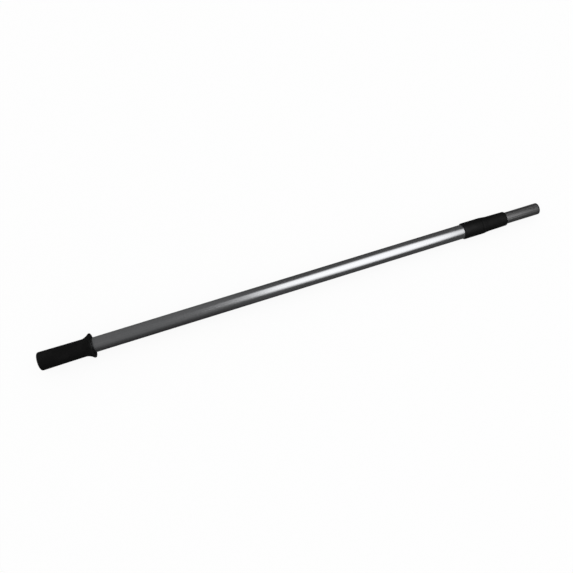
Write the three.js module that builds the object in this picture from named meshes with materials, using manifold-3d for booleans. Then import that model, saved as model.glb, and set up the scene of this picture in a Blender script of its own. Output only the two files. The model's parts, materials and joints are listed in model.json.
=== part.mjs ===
// A two-section telescopic roller extension pole with a twist lock.
//
// The outer section is an aluminium tube with a rubber hand grip at one end and a plastic lock
// sleeve at the other. The inner section slides in it. It is held by a split collet, which the
// lock nut squeezes onto the inner tube as it is screwed down the sleeve's neck.
//
// Units are millimetres. The pole lies along X, grip at -X and tip at +X, at the height where the
// grip's hand guard rests on the floor, with the origin on the floor under the middle of the
// closed pole. Every outline gives (distance from the grip's closed end, radius). A round is a
// regular prism whose flats touch the true circle, with one flat straight down, and every gap
// that something turns in is wider than the prism's corners stand out.

import * as THREE from "three";
import { mergeVertices } from "three/addons/utils/BufferGeometryUtils.js";
import Module from "manifold-3d";

const wasm = await Module();
wasm.setup();

// ---- Driving dimensions ------------------------------------------------------------------------

const CLOSED_LENGTH = 1030;
const OUTER_TUBE_RADIUS = 14.5;
const INNER_TUBE_RADIUS = 11.75;
const TUBE_WALL = 1;

// Fits: a sliding or turning gap, and the smaller gap between parts that are fixed together.
const RUNNING_GAP = 0.3;
const FIXED_GAP = 0.2;

// Hand grip.
const GRIP_LENGTH = 102.4;
const GRIP_END_WALL = 4.2;
const GUARD_RADIUS = 23.8;

// Plug and bumper in the grip's end of the outer tube.
const PLUG_START = GRIP_END_WALL + FIXED_GAP;
const PLUG_FLANGE = 2;
const BUMPER_SEAT = 24.5;
const BUMPER_TOP = 29.5;

// Collar: the fixed sleeve, its neck, and the nut that turns on it.
const SLEEVE_START = 861;
const SLEEVE_FACE = 901;
const SLEEVE_RADIUS = 16.6;
const NECK_RADIUS = 13.1;
const NECK_END = 925;
const NUT_START = SLEEVE_FACE + RUNNING_GAP;
const NUT_END = 956;
const BUSH_START = 868;
const OUTER_TUBE_END = 892.5;

// The collar's screw thread, right-handed.
const THREAD_PITCH = 5;
const THREAD_TURNS = 3;
const THREAD_START = 903.5;
const THREAD_DEPTH = 0.6;
const THREAD_ROOT_WIDTH = 2;
const THREAD_CREST_WIDTH = 1;
const NUT_THREAD_END = 919;

// The groove in the neck for the nut's retaining ring.
const RETAINER_GROOVE_START = 922;
const RETAINER_GROOVE_WIDTH = 1.4;
const RETAINER_GROOVE_DEPTH = 0.4;

// The collet, and the closing cone in the nut.
const COLLET_START = NECK_END + RUNNING_GAP;
const COLLET_BASE_LENGTH = 3.7;
const COLLET_CONE_LENGTH = 18;
const CONE_START = COLLET_START + COLLET_BASE_LENGTH;
const CONE_END = CONE_START + COLLET_CONE_LENGTH + 0.5;

// The groove in the nut's nose for the wiper.
const WIPER_GROOVE_START = NUT_END - 6.5;
const WIPER_GROOVE_WIDTH = 3;
const WIPER_GROOVE_RADIUS = INNER_TUBE_RADIUS + 1.75;

// The inner section's plug and its grooves, measured from the plug's own start.
const GLIDE_START = 30.3;
const GLIDE_HEAD_LENGTH = 24;
const LOWER_GROOVE = 3.7;
const UPPER_GROOVE = 15.7;
const GLIDE_GROOVE_WIDTH = 5;
const DRAG_GROOVE = 11;
const DRAG_GROOVE_WIDTH = 2.4;

// The collar that stops the inner section, and the plug in its far end.
const STOP_COLLAR_START = 95;
const STOP_COLLAR_LENGTH = 15;
const TIP_START = 1027;

// Pins and rivets.
const PIN_RADIUS = 1.5;
const PIN_HOLE_RADIUS = 1.75;
const PIN_STATION = STOP_COLLAR_START + STOP_COLLAR_LENGTH / 2;
const RIVET_STATION = 880;
const RIVET_HEAD_RADIUS = 2.8;
const RIVET_RECESS_RADIUS = 3.1;
const RIVET_RECESS_DEPTH = 1.1;

const SIDES = 32;
const PIN_SIDES = 16;
const ARC_STEPS = 2;
const CUTTER_LENGTH = 80;

const INNER_BORE = INNER_TUBE_RADIUS - TUBE_WALL;
const OUTER_BORE = OUTER_TUBE_RADIUS - TUBE_WALL;
const OUTER_TUBE_START = PLUG_START + PLUG_FLANGE + FIXED_GAP;
const INNER_TUBE_START = GLIDE_START + GLIDE_HEAD_LENGTH + RUNNING_GAP;
const INNER_TUBE_END = TIP_START - RUNNING_GAP;

// ---- Finishes ----------------------------------------------------------------------------------

const finish = (color, roughness, metalness) =>
  new THREE.MeshStandardMaterial({ color, roughness, metalness });

const gripRubber = finish(0x151515, 0.75, 0);
const bufferRubber = finish(0x2a2a2b, 0.85, 0);
const collarPlastic = finish(0x1d1d1e, 0.5, 0);
const tipPlastic = finish(0x4c4d4f, 0.55, 0);
const slidingPlastic = finish(0xd8d4c6, 0.5, 0);
const brightTube = finish(0xb9bcbf, 0.28, 1);
const dullTube = finish(0x727375, 0.45, 1);
const pinSteel = finish(0x8d8f92, 0.35, 1);

// ---- Shape helpers -----------------------------------------------------------------------------

// A path through straight points, which more lines and arcs can be added to.
function outline(...points) {
  const path = new THREE.Path();
  path.moveTo(points[0][0], points[0][1]);
  addLines(path, ...points.slice(1));
  return path;
}

function addLines(path, ...points) {
  points.forEach(([along, radius]) => path.lineTo(along, radius));
}

// Adds a rounded outer corner: the path leaves it going towards +X, or comes in and turns down.
function addLeadingRound(path, face, radius, round) {
  path.absarc(face + round, radius - round, round, Math.PI, Math.PI / 2, true);
}

function addTrailingRound(path, face, radius, round) {
  path.absarc(face - round, radius - round, round, Math.PI / 2, 0, true);
}

// How far a prism's corners stand out, for a given number of sides.
const cornerFactor = (sides) => 1 / Math.cos(Math.PI / sides);

// Revolves an outline about X. It runs up the outside and comes back down the bore or the axis.
function turned(path, sides = SIDES) {
  const factor = cornerFactor(sides);
  const points = path.getPoints(ARC_STEPS).map((p) => new THREE.Vector2(p.y * factor, p.x));
  const geometry = new THREE.LatheGeometry(points, sides, Math.PI / sides);
  return geometry.rotateZ(-Math.PI / 2);
}

// A plain ring or tube between two stations.
function ring(start, end, inner, outer) {
  return turned(outline([start, inner], [start, outer], [end, outer], [end, inner], [start, inner]));
}

function solidOf(geometry) {
  const bare = geometry.clone();
  bare.deleteAttribute("normal");
  bare.deleteAttribute("uv");
  const merged = mergeVertices(bare, 1e-4);
  const mesh = new wasm.Mesh({
    numProp: 3,
    vertProperties: new Float32Array(merged.attributes.position.array),
    triVerts: new Uint32Array(merged.index.array),
  });
  return new wasm.Manifold(mesh);
}

function geometryOf(solid) {
  const mesh = solid.getMesh();
  const geometry = new THREE.BufferGeometry();
  geometry.setAttribute("position", new THREE.BufferAttribute(mesh.vertProperties, 3));
  geometry.setIndex(new THREE.BufferAttribute(mesh.triVerts, 1));
  geometry.computeVertexNormals();
  return geometry;
}

function cut(geometry, ...cutters) {
  return geometryOf(cutters.reduce((body, c) => body.subtract(solidOf(c)), solidOf(geometry)));
}

function joined(geometry, other) {
  return geometryOf(solidOf(geometry).add(solidOf(other)));
}

// A rod across the pole, along Y, through its axis.
function crossRod(station, radius, length) {
  const rod = new THREE.CylinderGeometry(radius, radius, length, PIN_SIDES);
  return rod.translate(station, 0, 0);
}

function crossHole(station) {
  return crossRod(station, PIN_HOLE_RADIUS, CUTTER_LENGTH);
}

// A slot right through the pole's axis, from one station to another.
function slotCutter(start, end, width, turn) {
  const box = new THREE.BoxGeometry(end - start, width, CUTTER_LENGTH);
  return box.rotateX(turn).translate((start + end) / 2, 0, 0);
}

// A gap in the top of a ring, which lets it spring open to go over what it sits on.
function splitCutter(start, end) {
  const width = 3;
  const box = new THREE.BoxGeometry(end - start + 2, width, CUTTER_LENGTH / 2);
  return box.translate((start + end) / 2, 0, CUTTER_LENGTH / 4);
}

// The helical ridge of the thread, with its base sunk into the neck. With a gap it is that much
// wider and taller, as the groove that it runs in, and extra turns lengthen it at both ends.
function threadRidge(gap, extraTurns) {
  const sunk = 0.4;
  const steps = (THREAD_TURNS + 2 * extraTurns) * SIDES;
  const base = (NECK_RADIUS - sunk) * cornerFactor(SIDES);
  const crest = (NECK_RADIUS + THREAD_DEPTH + gap) * cornerFactor(SIDES);
  const rootHalf = THREAD_ROOT_WIDTH / 2 + gap;
  const crestHalf = THREAD_CREST_WIDTH / 2 + gap;
  const section = [
    [-rootHalf, base],
    [rootHalf, base],
    [crestHalf, crest],
    [-crestHalf, crest],
  ];
  const positions = [];
  const faces = [];
  for (let step = 0; step <= steps; step += 1) {
    const turns = (step + 0.5) / SIDES - extraTurns;
    const angle = turns * 2 * Math.PI;
    section.forEach(([along, radius]) => {
      const station = THREAD_START + THREAD_PITCH * turns + along;
      positions.push(station, radius * Math.cos(angle), radius * Math.sin(angle));
    });
  }
  for (let step = 0; step < steps; step += 1) {
    for (let side = 0; side < 4; side += 1) {
      const here = step * 4 + side;
      const next = step * 4 + ((side + 1) % 4);
      faces.push(here, next, here + 4);
      faces.push(next, next + 4, here + 4);
    }
  }
  const last = steps * 4;
  faces.push(0, 2, 1, 0, 3, 2);
  faces.push(last, last + 1, last + 2, last, last + 2, last + 3);
  const geometry = new THREE.BufferGeometry();
  geometry.setAttribute("position", new THREE.Float32BufferAttribute(positions, 3));
  geometry.setIndex(faces);
  return geometry;
}

// ---- Outer section -----------------------------------------------------------------------------

// A slip-on grip: closed and slightly fatter at the end, with a flared guard in front of the hand,
// dished like a trumpet's mouth, and a small vent in the end wall that lets the air out as it is
// pushed onto the tube.
function handGrip() {
  const endRadius = 17.9;
  const waistRadius = 16.8;
  const endRound = 3.4;
  const ventRadius = 2;
  const flareStart = 83.2;
  const flareRadius = 21;
  const flareAngle = 0.8;
  const rimRound = 1.6;
  const rimWidth = 3.4;
  const mouthDepth = 3.4;
  const mouthLip = 0.6;
  const bore = OUTER_TUBE_RADIUS + FIXED_GAP;
  const flareAxis = waistRadius + flareRadius;
  const path = outline([GRIP_END_WALL, ventRadius], [0, ventRadius], [0, endRadius - endRound]);
  addLeadingRound(path, 0, endRadius, endRound);
  addLines(path, [flareStart, waistRadius]);
  path.absarc(flareStart, flareAxis, flareRadius, -Math.PI / 2, flareAngle - Math.PI / 2, false);
  addLines(path, [GRIP_LENGTH - rimWidth, GUARD_RADIUS]);
  addTrailingRound(path, GRIP_LENGTH, GUARD_RADIUS, rimRound);
  addLines(
    path,
    [GRIP_LENGTH - mouthDepth, bore + mouthLip],
    [GRIP_LENGTH - mouthDepth, bore],
    [GRIP_END_WALL, bore],
    [GRIP_END_WALL, ventRadius],
  );
  return turned(path);
}

function outerTube() {
  const tube = ring(OUTER_TUBE_START, OUTER_TUBE_END, OUTER_BORE, OUTER_TUBE_RADIUS);
  return cut(tube, crossHole(RIVET_STATION));
}

// Closes the tube under the grip, and holds the bumper's stem in its centre hole.
function endPlug() {
  const hole = 4;
  const chamferLength = 2;
  const chamferDepth = 1;
  const spigot = OUTER_BORE - FIXED_GAP;
  const shoulder = PLUG_START + PLUG_FLANGE;
  const end = BUMPER_SEAT - FIXED_GAP;
  const path = outline(
    [PLUG_START, hole],
    [PLUG_START, OUTER_TUBE_RADIUS],
    [shoulder, OUTER_TUBE_RADIUS],
    [shoulder, spigot],
    [end - chamferLength, spigot],
    [end, spigot - chamferDepth],
    [end, hole],
    [PLUG_START, hole],
  );
  return turned(path);
}

// A rubber button that the inner section lands on when the pole is closed.
function stopBumper() {
  const stemRadius = 3.8;
  const stemEnd = PLUG_START + 4;
  const headRadius = 10;
  const headRound = 1.5;
  const path = outline([stemEnd, 0], [stemEnd, stemRadius], [BUMPER_SEAT, stemRadius]);
  addLines(path, [BUMPER_SEAT, headRadius], [BUMPER_TOP - headRound, headRadius]);
  addTrailingRound(path, BUMPER_TOP, headRadius, headRound);
  addLines(path, [BUMPER_TOP, 0]);
  return turned(path);
}

// ---- Lock --------------------------------------------------------------------------------------

// The fixed half of the collar: a socket over the tube's mouth, riveted to it, and a threaded neck.
function lockSleeve() {
  const startRound = 1.5;
  const faceChamfer = 0.6;
  const socket = OUTER_TUBE_RADIUS + FIXED_GAP;
  const socketEnd = OUTER_TUBE_END + 1.5;
  const bore = INNER_TUBE_RADIUS + RUNNING_GAP;
  const groove = NECK_RADIUS - RETAINER_GROOVE_DEPTH;
  const grooveEnd = RETAINER_GROOVE_START + RETAINER_GROOVE_WIDTH;
  const path = outline([SLEEVE_START, socket], [SLEEVE_START, SLEEVE_RADIUS - startRound]);
  addLeadingRound(path, SLEEVE_START, SLEEVE_RADIUS, startRound);
  addLines(
    path,
    [SLEEVE_FACE - faceChamfer, SLEEVE_RADIUS],
    [SLEEVE_FACE, SLEEVE_RADIUS - faceChamfer],
    [SLEEVE_FACE, NECK_RADIUS],
    [RETAINER_GROOVE_START, NECK_RADIUS],
    [RETAINER_GROOVE_START, groove],
    [grooveEnd, groove],
    [grooveEnd, NECK_RADIUS],
    [NECK_END, NECK_RADIUS],
    [NECK_END, bore],
    [socketEnd, bore],
    [socketEnd, socket],
    [SLEEVE_START, socket],
  );
  const drilled = cut(
    turned(path),
    crossHole(RIVET_STATION),
    rivetRecess(1),
    rivetRecess(-1),
  );
  return joined(drilled, threadRidge(0, 0));
}

// The flat-bottomed recess that a rivet's head sits in, on the +Y or the -Y side.
function rivetRecess(side) {
  const height = 2 * RIVET_RECESS_DEPTH;
  const recess = new THREE.CylinderGeometry(
    RIVET_RECESS_RADIUS,
    RIVET_RECESS_RADIUS,
    height,
    PIN_SIDES,
  );
  return recess.translate(RIVET_STATION, side * SLEEVE_RADIUS, 0);
}

// A rivet through the sleeve, the tube and the bush, its head below the sleeve's surface.
function sleeveRivet(side) {
  const tail = INNER_TUBE_RADIUS + 0.7;
  const underHead = SLEEVE_RADIUS - RIVET_RECESS_DEPTH + 0.1;
  const top = SLEEVE_RADIUS - RUNNING_GAP;
  const path = outline(
    [tail, 0],
    [tail, PIN_RADIUS],
    [underHead, PIN_RADIUS],
    [underHead, RIVET_HEAD_RADIUS],
    [underHead + 0.4, RIVET_HEAD_RADIUS],
    [top, RIVET_HEAD_RADIUS - 1],
    [top, 0],
  );
  const rivet = turned(path, PIN_SIDES).rotateZ((side * Math.PI) / 2);
  return rivet.translate(RIVET_STATION, 0, 0);
}

// A flanged guide bush in the tube's mouth. It steadies the inner tube and stops the stop collar.
function mouthBush() {
  const leadLength = 1.5;
  const leadDepth = 0.8;
  const flangeWidth = 1.1;
  const bore = INNER_TUBE_RADIUS + 0.25;
  const body = OUTER_BORE - FIXED_GAP;
  const flangeStart = OUTER_TUBE_END + FIXED_GAP;
  const flangeEnd = flangeStart + flangeWidth;
  const path = outline(
    [BUSH_START, bore],
    [BUSH_START, body - leadDepth],
    [BUSH_START + leadLength, body],
    [flangeStart, body],
    [flangeStart, OUTER_TUBE_RADIUS],
    [flangeEnd, OUTER_TUBE_RADIUS],
    [flangeEnd, bore],
    [BUSH_START, bore],
  );
  return cut(turned(path), crossHole(RIVET_STATION));
}

// A spring wire ring in the neck's groove. The nut's thread meets it before the nut can come off.
function nutRetainer() {
  const start = RETAINER_GROOVE_START + FIXED_GAP;
  const end = RETAINER_GROOVE_START + RETAINER_GROOVE_WIDTH - FIXED_GAP;
  const inner = NECK_RADIUS - RETAINER_GROOVE_DEPTH + FIXED_GAP;
  return cut(ring(start, end, inner, NECK_RADIUS + 0.5), splitCutter(start, end));
}

// Six tapered fingers on a common ring. The nut's cone closes them onto the inner tube.
function collet() {
  const bore = INNER_TUBE_RADIUS + FIXED_GAP;
  const baseRadius = 13.55;
  const fingerTip = 0.55;
  const slotWidth = 1.6;
  const end = CONE_START + COLLET_CONE_LENGTH;
  const path = outline(
    [COLLET_START, bore],
    [COLLET_START, baseRadius],
    [CONE_START, baseRadius],
    [end, bore + fingerTip],
    [end, bore],
    [COLLET_START, bore],
  );
  const slots = [0, 1, 2].map((k) => slotCutter(CONE_START, end + 1, slotWidth, (k * Math.PI) / 3));
  return cut(turned(path), ...slots);
}

// The turning half of the collar: a skirt that meets the sleeve, a shoulder and a long nose. Inside
// are the thread, a clear space over the retainer, the closing cone and the wiper's groove.
function lockNut() {
  const faceChamfer = 0.6;
  const leadIn = 1.2;
  const rimEnd = NUT_START + 2.2;
  const noseStart = 915.5;
  const noseRadius = 15.05;
  const noseEndRadius = 14.45;
  const noseRound = 2.1;
  const bore = INNER_TUBE_RADIUS + 0.5;
  const minor = NECK_RADIUS + FIXED_GAP;
  const clear = NECK_RADIUS + THREAD_DEPTH + RUNNING_GAP;
  const coneEndRadius = INNER_TUBE_RADIUS + 1;
  const wiperGrooveEnd = WIPER_GROOVE_START + WIPER_GROOVE_WIDTH;
  const path = outline(
    [NUT_START, clear],
    [NUT_START, SLEEVE_RADIUS - faceChamfer],
    [NUT_START + faceChamfer, SLEEVE_RADIUS],
    [rimEnd, SLEEVE_RADIUS],
    [noseStart, noseRadius],
    [NUT_END - noseRound, noseEndRadius],
  );
  addTrailingRound(path, NUT_END, noseEndRadius, noseRound);
  addLines(
    path,
    [NUT_END, bore],
    [wiperGrooveEnd, bore],
    [wiperGrooveEnd, WIPER_GROOVE_RADIUS],
    [WIPER_GROOVE_START, WIPER_GROOVE_RADIUS],
    [WIPER_GROOVE_START, coneEndRadius],
    [CONE_END, coneEndRadius],
    [CONE_START, clear],
    [NUT_THREAD_END, clear],
    [NUT_THREAD_END, minor],
    [NUT_START + leadIn, minor],
    [NUT_START, clear],
  );
  return cut(turned(path), threadRidge(FIXED_GAP + 0.05, 1));
}

// Wipes paint and dust off the inner tube. The nut carries it along but turns round it.
function wiperRing() {
  const start = WIPER_GROOVE_START + FIXED_GAP;
  const end = WIPER_GROOVE_START + WIPER_GROOVE_WIDTH - FIXED_GAP;
  const lip = INNER_TUBE_RADIUS + FIXED_GAP;
  const side = lip + 0.4;
  const outer = WIPER_GROOVE_RADIUS - 0.25;
  const path = outline(
    [start, side],
    [start, outer],
    [end, outer],
    [end, side],
    [(start + end) / 2, lip],
    [start, side],
  );
  return turned(path);
}

// ---- Inner section -----------------------------------------------------------------------------

function innerTube() {
  const tube = ring(INNER_TUBE_START, INNER_TUBE_END, INNER_BORE, INNER_TUBE_RADIUS);
  return cut(tube, crossHole(PIN_STATION));
}

// Pressed into the inner tube's lower end. Its head has grooves for two glide rings and an O-ring,
// and it is hollow from the end that lands on the bumper.
function glidePlug() {
  const head = OUTER_BORE - 0.7;
  const groove = head - 1;
  const dragGroove = head - 1.5;
  const spigot = INNER_BORE - FIXED_GAP;
  const spigotLength = 27;
  const hollow = 7;
  const hollowLength = 45;
  const chamferLength = 2;
  const at = (distance) => GLIDE_START + distance;
  const end = INNER_TUBE_START + spigotLength;
  const path = outline([at(hollowLength), 0], [at(hollowLength), hollow], [at(0), hollow]);
  addLines(path, [at(0), head - 1], [at(1), head]);
  addGroove(path, at(LOWER_GROOVE), GLIDE_GROOVE_WIDTH, head, groove);
  addGroove(path, at(DRAG_GROOVE), DRAG_GROOVE_WIDTH, head, dragGroove);
  addGroove(path, at(UPPER_GROOVE), GLIDE_GROOVE_WIDTH, head, groove);
  addLines(
    path,
    [at(GLIDE_HEAD_LENGTH), head],
    [at(GLIDE_HEAD_LENGTH), spigot],
    [end - chamferLength, spigot],
    [end, spigot - 1],
    [end, 0],
  );
  return turned(path);
}

function addGroove(path, start, width, outer, floor) {
  addLines(path, [start, outer], [start, floor], [start + width, floor], [start + width, outer]);
}

// A split nylon ring that runs on the outer tube's bore, in one of the glide plug's grooves.
function glideRing(groove) {
  const start = GLIDE_START + groove + FIXED_GAP;
  const end = start + GLIDE_GROOVE_WIDTH - 2 * FIXED_GAP;
  const band = ring(start, end, OUTER_BORE - 1.5, OUTER_BORE - FIXED_GAP);
  return cut(band, splitCutter(start, end));
}

// A rubber O-ring that drags a little on the bore, so that an open pole doesn't drop shut.
function dragRing() {
  const section = 0.9;
  const middle = GLIDE_START + DRAG_GROOVE + DRAG_GROOVE_WIDTH / 2;
  const path = new THREE.Path();
  path.absarc(middle, OUTER_BORE - FIXED_GAP - section, section, Math.PI, -Math.PI, true);
  return turned(path);
}

// Pinned to the inner tube. It meets the mouth bush when the pole is fully out.
function stopCollar() {
  const bore = INNER_TUBE_RADIUS + FIXED_GAP;
  const outer = OUTER_BORE - RUNNING_GAP;
  const chamferLength = 1;
  const chamferDepth = 0.7;
  const end = STOP_COLLAR_START + STOP_COLLAR_LENGTH;
  const path = outline(
    [STOP_COLLAR_START, bore],
    [STOP_COLLAR_START, outer - chamferDepth],
    [STOP_COLLAR_START + chamferLength, outer],
    [end - chamferLength, outer],
    [end, outer - chamferDepth],
    [end, bore],
    [STOP_COLLAR_START, bore],
  );
  return cut(turned(path), crossHole(PIN_STATION));
}

function stopPin() {
  return crossRod(PIN_STATION, PIN_RADIUS, 2 * (OUTER_BORE - 0.6));
}

// Closes the inner tube's end, flush with it, and keeps paint out. It is hollow underneath.
function tipPlug() {
  const spigot = INNER_BORE - FIXED_GAP;
  const spigotStart = TIP_START - 24;
  const leadLength = 1.5;
  const leadDepth = 0.8;
  const hollow = 7;
  const hollowEnd = TIP_START - 2;
  const tipRound = 1.8;
  const path = outline(
    [hollowEnd, 0],
    [hollowEnd, hollow],
    [spigotStart, hollow],
    [spigotStart, spigot - leadDepth],
    [spigotStart + leadLength, spigot],
    [TIP_START, spigot],
    [TIP_START, INNER_TUBE_RADIUS],
    [CLOSED_LENGTH - tipRound, INNER_TUBE_RADIUS],
  );
  addTrailingRound(path, CLOSED_LENGTH, INNER_TUBE_RADIUS, tipRound);
  addLines(path, [CLOSED_LENGTH, 0]);
  return turned(path);
}

// ---- Assembly ----------------------------------------------------------------------------------

function section(...pieces) {
  const group = new THREE.Group();
  pieces.forEach(([name, geometry, material]) => {
    const mesh = new THREE.Mesh(geometry, material);
    mesh.name = name;
    group.add(mesh);
  });
  return group;
}

const outerSection = section(
  ["hand_grip", handGrip(), gripRubber],
  ["outer_tube", outerTube(), brightTube],
  ["end_plug", endPlug(), slidingPlastic],
  ["stop_bumper", stopBumper(), bufferRubber],
  ["mouth_bush", mouthBush(), slidingPlastic],
);

const lock = section(
  ["lock_sleeve", lockSleeve(), collarPlastic],
  ["sleeve_rivet_left", sleeveRivet(1), pinSteel],
  ["sleeve_rivet_right", sleeveRivet(-1), pinSteel],
  ["nut_retainer", nutRetainer(), pinSteel],
  ["collet", collet(), slidingPlastic],
  ["lock_nut", lockNut(), collarPlastic],
  ["wiper_ring", wiperRing(), bufferRubber],
);

const innerSection = section(
  ["inner_tube", innerTube(), dullTube],
  ["glide_plug", glidePlug(), slidingPlastic],
  ["glide_ring_lower", glideRing(LOWER_GROOVE), slidingPlastic],
  ["glide_ring_upper", glideRing(UPPER_GROOVE), slidingPlastic],
  ["drag_ring", dragRing(), bufferRubber],
  ["stop_collar", stopCollar(), slidingPlastic],
  ["stop_pin", stopPin(), pinSteel],
  ["tip_plug", tipPlug(), tipPlastic],
);

const pole = new THREE.Group();
pole.add(outerSection, lock, innerSection);
pole.position.set(-CLOSED_LENGTH / 2, 0, GUARD_RADIUS);

const extensionPole = new THREE.Group();
extensionPole.add(pole);

export default extensionPole;
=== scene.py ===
"""A two-section telescopic roller extension pole: its fine shapes, finishes and studio.

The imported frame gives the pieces' places and bodies. Each operator below builds one piece, or one
group of like pieces, as a closed mesh in the frame's own space, and hides the plain solid that it
stands for. All lengths are in metres. An outline is a list of corners, each (along, radius) or
(along, radius, rounding): along counts from the closed end of the hand grip, and radius from the
pole's axis.
"""

import json
import math

import bmesh
import bpy
from mathutils import Matrix, Vector


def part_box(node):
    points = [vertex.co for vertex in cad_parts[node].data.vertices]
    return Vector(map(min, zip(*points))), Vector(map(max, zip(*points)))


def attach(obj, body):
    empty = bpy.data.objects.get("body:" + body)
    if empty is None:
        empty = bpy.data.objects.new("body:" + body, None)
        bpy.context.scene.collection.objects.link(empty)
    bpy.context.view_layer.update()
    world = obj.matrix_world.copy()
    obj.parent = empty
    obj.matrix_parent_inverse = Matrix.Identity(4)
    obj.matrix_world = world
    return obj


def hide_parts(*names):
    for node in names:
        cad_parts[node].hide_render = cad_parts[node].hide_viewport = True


bl_info = {
    "name": "Roller Extension Pole",
    "version": (1, 0, 0),
    "blender": (4, 5, 0),
    "location": "3D View > Sidebar > Pole",
    "description": "Builds a telescopic roller extension pole with a twist lock",
    "category": "Object",
}

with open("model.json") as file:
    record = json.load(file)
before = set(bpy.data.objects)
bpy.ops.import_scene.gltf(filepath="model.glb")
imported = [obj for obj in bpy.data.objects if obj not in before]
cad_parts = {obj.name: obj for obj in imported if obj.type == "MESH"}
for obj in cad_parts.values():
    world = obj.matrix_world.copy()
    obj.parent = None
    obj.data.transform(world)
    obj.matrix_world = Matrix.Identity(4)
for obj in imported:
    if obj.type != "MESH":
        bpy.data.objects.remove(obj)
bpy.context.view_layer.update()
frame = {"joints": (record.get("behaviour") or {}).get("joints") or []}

# ---- Places and sizes, from the frame where it has them ----

GRIP_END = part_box("hand_grip")[0].x
AXIS_HEIGHT = (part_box("outer_tube")[0].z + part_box("outer_tube")[1].z) / 2
AXIS = Vector((1, 0, 0))
ON_AXIS = Vector((0, 0, AXIS_HEIGHT))


def span(node):
    """Where a node starts and ends along the pole, and its largest radius."""
    low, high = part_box(node)
    return low.x - GRIP_END, high.x - GRIP_END, (high.z - low.z) / 2


def middle(node):
    """The point on the pole's axis at the middle of a node."""
    start, end, _ = span(node)
    return ON_AXIS + AXIS * (GRIP_END + (start + end) / 2)


# The slope that the hand grip's guard flares to, in radians.
FLARE_ANGLE = 0.8

OUTER_RADIUS = span("outer_tube")[2]
INNER_RADIUS = span("inner_tube")[2]
WALL = 0.001
OUTER_BORE = OUTER_RADIUS - WALL
INNER_BORE = INNER_RADIUS - WALL

# Gaps: for parts that move on each other, for close guides, and for parts that are fixed together.
RUNNING_GAP = 0.0003
GUIDE_GAP = 0.00025
FIXED_GAP = 0.0002

# The lock: its right-handed screw thread, and the plain ring before the collet's cone and slots.
THREAD_PITCH = 0.005
THREAD_TURNS = 3
THREAD_DEPTH = 0.0006
THREAD_ROOT_WIDTH = 0.002
THREAD_CREST_WIDTH = 0.001
NECK_RADIUS = 0.0131
THREAD_START = 0.9035
THREAD_END = 0.919
RETAINER_GROOVE_DEPTH = 0.0004
COLLET_BASE = 0.0037

RIVET_ALONG = (span("sleeve_rivet_left")[0] + span("sleeve_rivet_left")[1]) / 2
RIVET_HEAD_RADIUS = span("sleeve_rivet_left")[2]
RIVET_RECESS_RADIUS = 0.00305
RIVET_RECESS_DEPTH = 0.0011
PIN_ALONG = (span("stop_pin")[0] + span("stop_pin")[1]) / 2
CROSS_HOLE_RADIUS = 0.0017

# The usual roundings of a piece's edges.
FINE_EDGE = 0.0002
EDGE = 0.0003
SOFT_EDGE = 0.0005

# How far a cutter reaches past its piece, how long one right through the pole is, and the width of
# the split in a ring that springs open.
CUT_MARGIN = 0.001
CUT_LENGTH = 0.08
SPLIT_WIDTH = 0.003

# Steps round the pole and round a small piece. A rounded corner has at least ROUNDING_STEPS, and a
# large one has a step for each ROUNDING_PITCH of its rounding.
ROUND_STEPS = 128
SMALL_ROUND_STEPS = 48
ROUNDING_STEPS = 5
ROUNDING_PITCH = 0.0006
MERGE_DISTANCE = 1e-7
SHARP_ANGLE = math.radians(32)


# ---- Settings ----


def colour_setting(name, description, default):
    """A setting that is a colour, in linear red, green and blue."""
    return bpy.props.FloatVectorProperty(
        name=name, description=description, default=default, size=3, subtype="COLOR", min=0, max=1
    )


def length_setting(name, description, default):
    """A setting that is a length in metres."""
    return bpy.props.FloatProperty(
        name=name, description=description, default=default, unit="LENGTH", min=0
    )


class GripSettings(bpy.types.PropertyGroup):
    """The hand grip."""

    end_radius: length_setting("End radius", "Radius of the grip at its closed end", 0.0179)
    end_round: length_setting("End round", "Rounding of the closed end's edge", 0.0036)
    waist_radius: length_setting("Waist radius", "Radius where the guard starts to flare", 0.0168)
    flare_radius: length_setting("Flare radius", "Radius of the guard's hollow curve", 0.021)
    rim_width: length_setting("Rim width", "Width of the guard's rim", 0.0034)
    rim_round: length_setting("Rim round", "Rounding of the guard's rim", 0.0016)
    mouth_depth: length_setting("Mouth depth", "Depth of the dish in the guard's front", 0.0034)
    vent_radius: length_setting("Vent radius", "Radius of the air hole in the end", 0.002)
    colour: colour_setting("Colour", "Colour of the rubber", (0.0026, 0.0026, 0.0027))


class TubeSettings(bpy.types.PropertyGroup):
    """The two aluminium tubes."""

    end_round: length_setting("End round", "Rounding of the tubes' cut ends", 0.0002)
    outer_colour: colour_setting("Outer colour", "Colour of the outer tube", (0.74, 0.75, 0.77))
    inner_colour: colour_setting("Inner colour", "Colour of the inner tube", (0.40, 0.40, 0.405))


class CollarSettings(bpy.types.PropertyGroup):
    """The twist-lock collar: the fixed sleeve and the nut."""

    nose_radius: length_setting("Nose radius", "Radius of the nut's nose at its shoulder", 0.01505)
    nose_end_radius: length_setting("Nose end radius", "Radius of the nut's nose at its end", 0.01445)
    nose_round: length_setting("Nose round", "Rounding of the nose's end", 0.0021)
    flute_depth: length_setting("Flute depth", "Depth of the finger flutes in the nose", 0.0004)
    flutes: bpy.props.IntProperty(
        name="Flutes", description="Number of finger flutes round the nose", default=20, min=0
    )
    colour: colour_setting("Colour", "Colour of the plastic", (0.0036, 0.0036, 0.0038))


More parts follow.
